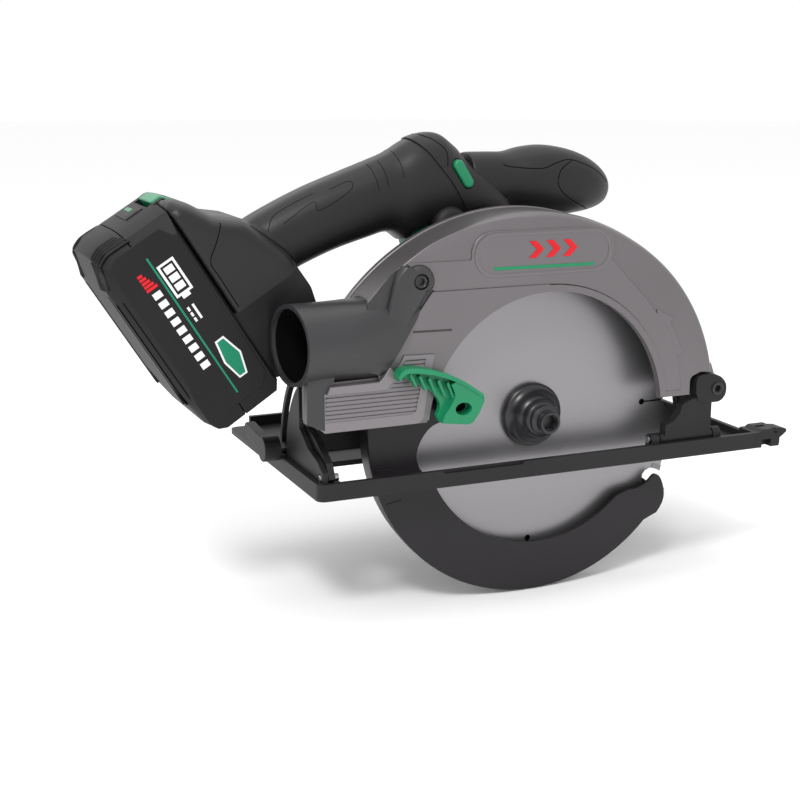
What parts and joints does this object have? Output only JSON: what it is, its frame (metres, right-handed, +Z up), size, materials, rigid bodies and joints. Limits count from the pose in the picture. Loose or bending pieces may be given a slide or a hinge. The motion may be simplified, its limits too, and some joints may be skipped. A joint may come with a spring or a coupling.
{
  "type": "circular saw",
  "caption": "Battery circular saw with its blade on the right, swinging lower guard, bevel and depth adjustable base, loop handle, front handle and side dust spout.",
  "frame": {"origin": "on the sole of the base, straight below the arbor, in the handle's centre plane", "axes": "+X forward along the cut, +Y to the left of the saw towards the motor, +Z up from the sole"},
  "size_m": [0.3863, 0.1599, 0.2486],
  "materials": {
    "guard_grey": "satin grey paint on a casting",
    "base_black": "semi-matt black coating",
    "shell_black": "fine moulded texture",
    "nozzle_black": "dark grey moulded plastic",
    "grip_rubber": "soft overmould",
    "signal_green": "bright green moulded plastic",
    "blade_steel": "ground satin steel",
    "black_steel": "black oxide",
    "bright_steel": "turned steel",
    "cast_metal": "die cast",
    "copper": "varnished windings on laminations",
    "cell_wrap": "shrink wrap",
    "board": "coated circuit board"
  },
  "bodies": {
    "base": {"base_plate": "base_black", "bevel_quadrant": "base_black", "bevel_pin_front": "bright_steel", "bevel_pin_rear": "bright_steel"},
    "bevel_frame": {"front_bracket": "base_black", "rear_bracket": "base_black", "depth_link": "bright_steel", "link_screw": "bright_steel", "depth_pivot_bolt": "black_steel", "bevel_bolt": "bright_steel"},
    "bevel_lever": {"bevel_lever": "base_black"},
    "saw_body": {"upper_guard": "guard_grey", "dust_nozzle": "nozzle_black", "nozzle_screw": "black_steel", "guard_retainer": "bright_steel", "guard_spring": "bright_steel", "guard_stop": "grip_rubber", "gear_case": "cast_metal", "motor_housing": "shell_black", "motor_end_cap": "shell_black", "stator": "copper", "spindle_bearing_near": "bright_steel", "spindle_bearing_far": "bright_steel", "rotor_bearing_front": "bright_steel", "rotor_bearing_rear": "bright_steel", "handle_right": "shell_black", "handle_left": "shell_black", "front_handle": "grip_rubber", "handle_screw_1": "black_steel", "handle_screw_2": "black_steel", "handle_screw_3": "black_steel", "switch": "shell_black", "control_board": "board", "terminal_block": "shell_black", "depth_bolt": "bright_steel"},
    "depth_lever": {"depth_lever": "base_black"},
    "arbor": {"blade": "blade_steel", "outer_flange": "black_steel", "inner_flange": "black_steel", "blade_bolt": "black_steel", "spindle": "bright_steel", "spindle_gear": "bright_steel"},
    "rotor": {"rotor_shaft": "bright_steel", "rotor_core": "bright_steel", "cooling_fan": "shell_black"},
    "lower_guard": {"lower_guard": "base_black", "guard_lever": "signal_green"},
    "trigger": {"trigger": "signal_green"},
    "lock_off": {"lock_off_button": "signal_green"},
    "spindle_lock": {"spindle_lock": "shell_black"},
    "battery": {"battery_bottom": "shell_black", "battery_top": "shell_black", "cell_pair_1": "cell_wrap", "cell_pair_2": "cell_wrap", "cell_pair_3": "cell_wrap", "cell_pair_4": "cell_wrap", "cell_pair_5": "cell_wrap"},
    "battery_release": {"battery_release": "signal_green"}
  },
  "joints": [
    {"name": "bevel_tilt", "type": "hinge", "parent": "base", "child": "bevel_frame", "pos_m": [0, -0.058, 0.0105], "axis": [1, 0, 0], "range_deg": [0, 45]},
    {"name": "depth_swing", "type": "hinge", "parent": "bevel_frame", "child": "saw_body", "pos_m": [0.1075, -0.04, 0.0368], "axis": [0, 1, 0], "range_deg": [0, 28]},
    {"name": "bevel_lever_turn", "type": "hinge", "parent": "bevel_frame", "child": "bevel_lever", "pos_m": [-0.137, -0.00208, 0.01343], "axis": [1, 0, 0], "range_deg": [0, 60]},
    {"name": "depth_lever_turn", "type": "hinge", "parent": "saw_body", "child": "depth_lever", "pos_m": [-0.07225, 0.02, 0.04622], "axis": [0, 1, 0], "range_deg": [-60, 0]},
    {"name": "blade_spin", "type": "hinge", "parent": "saw_body", "child": "arbor", "pos_m": [0, -0.04, 0.028], "axis": [0, 1, 0], "continuous": true},
    {"name": "rotor_spin", "type": "hinge", "parent": "saw_body", "child": "rotor", "pos_m": [-0.01434, 0, 0.04848], "axis": [0, 1, 0], "continuous": true},
    {"name": "guard_swing", "type": "hinge", "parent": "saw_body", "child": "lower_guard", "pos_m": [0, -0.04, 0.028], "axis": [0, 1, 0], "range_deg": [0, 120], "stiffness_Nm_per_rad": 0.12, "springref_deg": -68.75},
    {"name": "trigger_pull", "type": "hinge", "parent": "saw_body", "child": "trigger", "pos_m": [-0.038, 0, 0.134], "axis": [0, 1, 0], "range_deg": [0, 7.5], "stiffness_Nm_per_rad": 0.5, "springref_deg": -5.73},
    {"name": "lock_off_press", "type": "slide", "parent": "saw_body", "child": "lock_off", "axis": [0, 1, 0], "range_m": [0, 0.003], "stiffness_N_per_m": 400, "springref_m": -0.002},
    {"name": "spindle_lock_press", "type": "slide", "parent": "saw_body", "child": "spindle_lock", "axis": [0, -1, 0], "range_m": [0, 0.003], "stiffness_N_per_m": 400, "springref_m": -0.002},
    {"name": "battery_slide", "type": "slide", "parent": "saw_body", "child": "battery", "axis": [-0.5299, 0, 0.848], "range_m": [0, 0.09]},
    {"name": "battery_release_press", "type": "slide", "parent": "battery", "child": "battery_release", "axis": [-0.848, 0, -0.5299], "range_m": [0, 0.0025], "stiffness_N_per_m": 400, "springref_m": -0.002}
  ],
  "couplings": [
    {"joint": "rotor_spin", "follows": "blade_spin", "ratio": -4}
  ]
}
